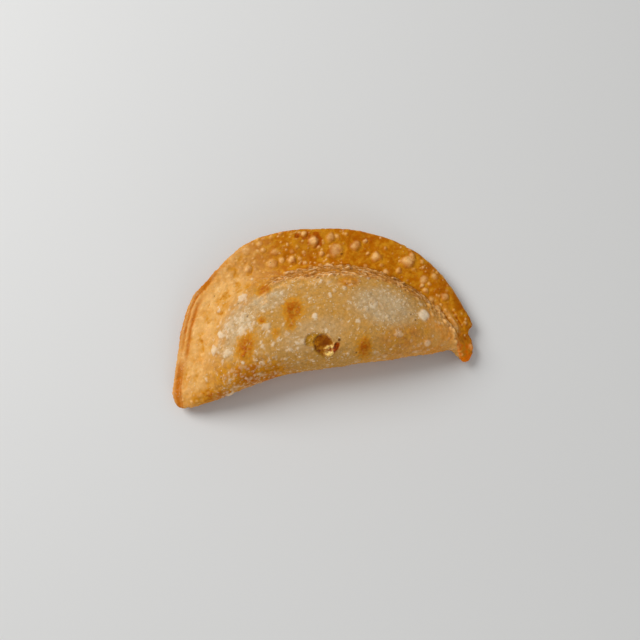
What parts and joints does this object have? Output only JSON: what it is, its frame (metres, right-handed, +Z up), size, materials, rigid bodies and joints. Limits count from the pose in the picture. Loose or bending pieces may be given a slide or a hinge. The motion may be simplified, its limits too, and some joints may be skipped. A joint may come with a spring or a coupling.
{
  "type": "empanada",
  "caption": "Fried half-moon empanada: a round of dough folded over its filling, with a broad pressed rim, a domed belly and a tucked ear at one end of the fold.",
  "frame": {"origin": "bottom centre of the bounding box, on the surface the empanada lies on", "axes": "+X along the fold, +Y from the fold to the back of the curved rim, +Z up"},
  "size_m": [0.161, 0.085, 0.0314],
  "materials": {
    "fried_crust": "golden brown fried dough, slightly oily, rough where it is floury"
  },
  "bodies": {
    "root": {"empanada": "fried_crust"}
  },
  "joints": []
}
